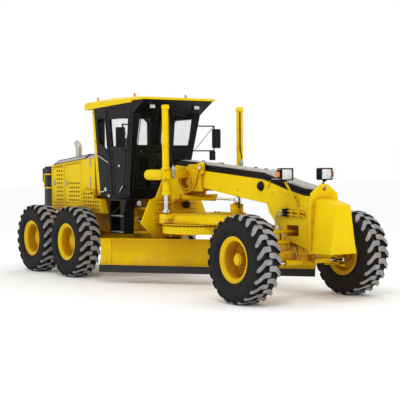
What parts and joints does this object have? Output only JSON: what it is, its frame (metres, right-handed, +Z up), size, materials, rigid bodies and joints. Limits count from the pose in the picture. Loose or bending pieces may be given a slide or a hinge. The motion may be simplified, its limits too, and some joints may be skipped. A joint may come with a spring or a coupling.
{
  "type": "motor grader",
  "caption": "Articulated motor grader: arched front frame, drawbar with turning circle and blade, leaning steered front wheels, tandem rear wheels, cab and engine hood.",
  "frame": {"origin": "middle of the overall box in plan, on the ground plane under the tyres", "axes": "+X forward over the front axle, +Y to the machine's left, +Z up"},
  "size_m": [8.9, 2.6124, 3.46],
  "materials": {
    "machine_yellow": "gloss machine enamel, slightly worn",
    "cab_black": "satin black enamel",
    "tyre_rubber": "dusty dark rubber with greyer lug tops",
    "chrome_rod": "hard chrome, polished",
    "edge_steel": "dark hardened steel",
    "exhaust_steel": "bare steel",
    "engine_iron": "dark painted casting",
    "seat_vinyl": "dark grey upholstery",
    "black_plastic": "textured moulding",
    "cab_glass": "clear, slightly tinted"
  },
  "bodies": {
    "rear_frame": {"rear_frame": "machine_yellow", "rear_axle": "machine_yellow", "engine": "engine_iron", "hood": "machine_yellow", "radiator_guard": "cab_black", "exhaust": "exhaust_steel", "cab_floor": "cab_black", "cab_rear": "cab_black", "cab_front": "cab_black", "cab_sides": "cab_black", "cab_glass": "cab_glass", "cab_roof": "machine_yellow", "seat": "seat_vinyl", "console": "black_plastic", "ladders": "cab_black", "mirrors": "black_plastic"},
    "front_frame": {"front_frame": "machine_yellow", "frame_cover": "cab_black", "weight_block": "machine_yellow", "saddle": "machine_yellow", "lift_barrels": "machine_yellow", "headlamps": "black_plastic", "front_axle": "machine_yellow"},
    "artic_rod_R": {"artic_rod_R": "chrome_rod"},
    "artic_rod_L": {"artic_rod_L": "chrome_rod"},
    "lean_R": {"lean_bracket_R": "machine_yellow"},
    "lean_L": {"lean_bracket_L": "machine_yellow"},
    "lean_linkage": {"lean_linkage": "machine_yellow"},
    "knuckle_R": {"knuckle_R": "machine_yellow"},
    "knuckle_L": {"knuckle_L": "machine_yellow"},
    "tie_rod": {"tie_rod": "machine_yellow"},
    "steer_rods": {"steer_rods": "chrome_rod"},
    "drawbar_ball": {"drawbar_ball": "machine_yellow"},
    "drawbar": {"drawbar": "machine_yellow"},
    "lift_rods": {"lift_rods": "chrome_rod"},
    "shift_barrel": {"shift_barrel": "machine_yellow"},
    "shift_rod": {"shift_rod": "chrome_rod"},
    "circle": {"circle": "machine_yellow"},
    "blade_carrier": {"blade_carrier": "machine_yellow"},
    "tip_rod": {"tip_rod": "chrome_rod"},
    "blade": {"moldboard": "machine_yellow", "cutting_edge": "edge_steel"},
    "cab_door_R": {"cab_door_R": "cab_black"},
    "cab_door_L": {"cab_door_L": "cab_black"},
    "hood_door_rear_R": {"hood_door_rear_R": "machine_yellow"},
    "hood_door_rear_L": {"hood_door_rear_L": "machine_yellow"},
    "hood_door_front_R": {"hood_door_front_R": "machine_yellow"},
    "hood_door_front_L": {"hood_door_front_L": "machine_yellow"},
    "wheel_front_R": {"tyre_front_R": "tyre_rubber", "rim_front_R": "machine_yellow"},
    "wheel_front_L": {"tyre_front_L": "tyre_rubber", "rim_front_L": "machine_yellow"},
    "wheel_middle_R": {"tyre_middle_R": "tyre_rubber", "rim_middle_R": "machine_yellow"},
    "wheel_middle_L": {"tyre_middle_L": "tyre_rubber", "rim_middle_L": "machine_yellow"},
    "wheel_rear_R": {"tyre_rear_R": "tyre_rubber", "rim_rear_R": "machine_yellow"},
    "wheel_rear_L": {"tyre_rear_L": "tyre_rubber", "rim_rear_L": "machine_yellow"}
  },
  "joints": [
    {"name": "articulation", "type": "hinge", "parent": "rear_frame", "child": "front_frame", "pos_m": [-0.63, 0, 1.095], "axis": [0, 0, 1], "range_deg": [-25, 25]},
    {"name": "artic_rod_R_slide", "type": "slide", "parent": "rear_frame", "child": "artic_rod_R", "axis": [0.9818, -0.1897, 0], "range_m": [-0.225, 0.225]},
    {"name": "artic_rod_L_slide", "type": "slide", "parent": "rear_frame", "child": "artic_rod_L", "axis": [0.9818, 0.1897, 0], "range_m": [-0.225, 0.225]},
    {"name": "wheel_lean_R", "type": "hinge", "parent": "front_frame", "child": "lean_R", "pos_m": [3.42, -0.7, 0.69], "axis": [1, 0, 0], "range_deg": [-17, 17]},
    {"name": "wheel_lean_L", "type": "hinge", "parent": "front_frame", "child": "lean_L", "pos_m": [3.42, 0.7, 0.69], "axis": [1, 0, 0], "range_deg": [-17, 17]},
    {"name": "lean_bar_slide", "type": "slide", "parent": "front_frame", "child": "lean_linkage", "axis": [0, 1, 0], "range_m": [-0.11, 0.11]},
    {"name": "steer_R", "type": "hinge", "parent": "lean_R", "child": "knuckle_R", "pos_m": [3.42, -0.835, 0.675], "axis": [0, 0, 1], "range_deg": [-45, 45]},
    {"name": "steer_L", "type": "hinge", "parent": "lean_L", "child": "knuckle_L", "pos_m": [3.42, 0.835, 0.675], "axis": [0, 0, 1], "range_deg": [-45, 45]},
    {"name": "tie_rod_slide", "type": "slide", "parent": "front_frame", "child": "tie_rod", "axis": [0, 1, 0], "range_m": [-0.145, 0.145]},
    {"name": "steer_rods_slide", "type": "slide", "parent": "front_frame", "child": "steer_rods", "axis": [0, 1, 0], "range_m": [-0.145, 0.145]},
    {"name": "drawbar_swing", "type": "hinge", "parent": "front_frame", "child": "drawbar_ball", "pos_m": [2.97, 0, 0.96], "axis": [0, 0, 1], "range_deg": [-9, 9]},
    {"name": "drawbar_lift", "type": "hinge", "parent": "drawbar_ball", "child": "drawbar", "pos_m": [2.97, 0, 0.96], "axis": [0, 1, 0], "range_deg": [-19, 4.5]},
    {"name": "lift_rods_slide", "type": "slide", "parent": "front_frame", "child": "lift_rods", "axis": [0, 0, 1], "range_m": [-0.72, 0.18]},
    {"name": "shift_barrel_pivot", "type": "hinge", "parent": "front_frame", "child": "shift_barrel", "pos_m": [0.57, -0.4, 1.56], "axis": [1, 0, 0], "range_deg": [-35, 9]},
    {"name": "shift_rod_slide", "type": "slide", "parent": "shift_barrel", "child": "shift_rod", "axis": [0.3129, 0.9481, -0.0569], "range_m": [-0.305, 0.305]},
    {"name": "circle_turn", "type": "hinge", "parent": "drawbar", "child": "circle", "pos_m": [0.82, 0, 1.1], "axis": [0, 0, 1], "continuous": true},
    {"name": "blade_tip", "type": "hinge", "parent": "circle", "child": "blade_carrier", "pos_m": [0.70795, 0.14087, 0.38], "axis": [0.7826, 0.6225, 0], "range_deg": [-20, 20]},
    {"name": "tip_rod_slide", "type": "slide", "parent": "circle", "child": "tip_rod", "axis": [0.6077, -0.764, -0.2169], "range_m": [-0.11, 0.11]},
    {"name": "blade_side_shift", "type": "slide", "parent": "blade_carrier", "child": "blade", "axis": [0.7826, 0.6225, 0], "range_m": [-0.4, 0.4]},
    {"name": "cab_door_R_hinge", "type": "hinge", "parent": "rear_frame", "child": "cab_door_R", "pos_m": [-1.35, -0.61, 1.5], "axis": [0, 0.0788, -0.9969], "range_deg": [0, 90]},
    {"name": "cab_door_L_hinge", "type": "hinge", "parent": "rear_frame", "child": "cab_door_L", "pos_m": [-1.35, 0.61, 1.5], "axis": [0, 0.0788, 0.9969], "range_deg": [0, 90]},
    {"name": "hood_door_rear_R_hinge", "type": "hinge", "parent": "rear_frame", "child": "hood_door_rear_R", "pos_m": [-3.365, -0.64, 1.75], "axis": [0, 0, 1], "range_deg": [0, 90]},
    {"name": "hood_door_rear_L_hinge", "type": "hinge", "parent": "rear_frame", "child": "hood_door_rear_L", "pos_m": [-3.365, 0.64, 1.75], "axis": [0, 0, -1], "range_deg": [0, 90]},
    {"name": "hood_door_front_R_hinge", "type": "hinge", "parent": "rear_frame", "child": "hood_door_front_R", "pos_m": [-2.585, -0.64, 1.75], "axis": [0, 0, 1], "range_deg": [0, 90]},
    {"name": "hood_door_front_L_hinge", "type": "hinge", "parent": "rear_frame", "child": "hood_door_front_L", "pos_m": [-2.585, 0.64, 1.75], "axis": [0, 0, -1], "range_deg": [0, 90]},
    {"name": "wheel_front_R_spin", "type": "hinge", "parent": "knuckle_R", "child": "wheel_front_R", "pos_m": [3.42, -1.0775, 0.675], "axis": [0, 1, 0], "continuous": true},
    {"name": "wheel_front_L_spin", "type": "hinge", "parent": "knuckle_L", "child": "wheel_front_L", "pos_m": [3.42, 1.0775, 0.675], "axis": [0, 1, 0], "continuous": true},
    {"name": "wheel_middle_R_spin", "type": "hinge", "parent": "rear_frame", "child": "wheel_middle_R", "pos_m": [-2.03, -1.0775, 0.675], "axis": [0, 1, 0], "continuous": true},
    {"name": "wheel_middle_L_spin", "type": "hinge", "parent": "rear_frame", "child": "wheel_middle_L", "pos_m": [-2.03, 1.0775, 0.675], "axis": [0, 1, 0], "continuous": true},
    {"name": "wheel_rear_R_spin", "type": "hinge", "parent": "rear_frame", "child": "wheel_rear_R", "pos_m": [-3.568, -1.0775, 0.675], "axis": [0, 1, 0], "continuous": true},
    {"name": "wheel_rear_L_spin", "type": "hinge", "parent": "rear_frame", "child": "wheel_rear_L", "pos_m": [-3.568, 1.0775, 0.675], "axis": [0, 1, 0], "continuous": true}
  ],
  "couplings": [
    {"joint": "artic_rod_R_slide", "follows": "articulation", "m_per_rad": 0.506},
    {"joint": "artic_rod_L_slide", "follows": "articulation", "m_per_rad": -0.506},
    {"joint": "wheel_lean_L", "follows": "wheel_lean_R", "ratio": 1},
    {"joint": "lean_bar_slide", "follows": "wheel_lean_R", "m_per_rad": -0.365},
    {"joint": "steer_L", "follows": "steer_R", "ratio": 1},
    {"joint": "tie_rod_slide", "follows": "steer_R", "m_per_rad": -0.18},
    {"joint": "steer_rods_slide", "follows": "steer_R", "m_per_rad": 0.18},
    {"joint": "lift_rods_slide", "follows": "drawbar_lift", "m_per_rad": 2.155},
    {"joint": "shift_barrel_pivot", "follows": "drawbar_lift", "ratio": 1.8},
    {"joint": "shift_rod_slide", "follows": "drawbar_swing", "m_per_rad": -1.93},
    {"joint": "tip_rod_slide", "follows": "blade_tip", "m_per_rad": 0.296}
  ]
}
